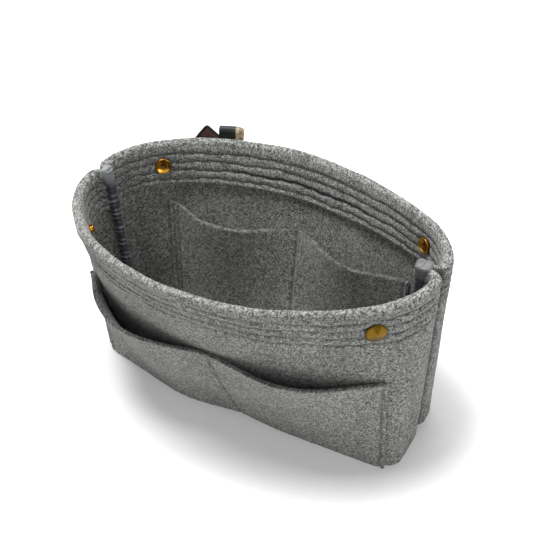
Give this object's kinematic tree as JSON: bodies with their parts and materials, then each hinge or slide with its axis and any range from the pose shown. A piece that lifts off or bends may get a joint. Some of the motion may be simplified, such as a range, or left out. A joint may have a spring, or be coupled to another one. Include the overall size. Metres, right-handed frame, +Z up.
{
  "type": "purse organizer insert",
  "caption": "Free-standing felt organizer insert with an open oval mouth, outside and inside pockets, brass press studs at the corners and a leather hanging loop behind.",
  "frame": {"origin": "on the underside of the base, near its middle, at the floor", "axes": "+X along the length towards the right-hand end seam, +Y towards the back wall that carries the loop, +Z up"},
  "size_m": [0.2462, 0.1722, 0.1436],
  "materials": {
    "felt": "grey marled wool felt, matt",
    "tape": "woven binding tape with a soft sheen",
    "brass": "polished, lightly aged",
    "leather": "black grain, brown suede back"
  },
  "bodies": {
    "insert": {"front_panel": "felt", "back_panel": "felt", "base_panel": "felt", "outer_front_pocket": "felt", "inner_back_pocket": "felt", "inner_front_pocket": "felt", "seam_binding_left": "tape", "seam_binding_right": "tape", "snap_cap_front_left": "brass", "snap_cap_front_right": "brass", "snap_cap_back_left": "brass", "snap_cap_back_right": "brass", "snap_stud_front_left": "brass", "snap_stud_front_right": "brass", "snap_socket_back_left": "brass", "snap_socket_back_right": "brass", "strap_end_left": "leather", "strap_end_right": "leather"},
    "loop": {"strap_loop": "leather"}
  },
  "joints": [
    {"name": "loop_swing", "type": "hinge", "parent": "insert", "child": "loop", "pos_m": [-0.08324, 0.06721, 0.122], "axis": [0.9216, 0.3881, 0], "range_deg": [-7, 85]}
  ]
}
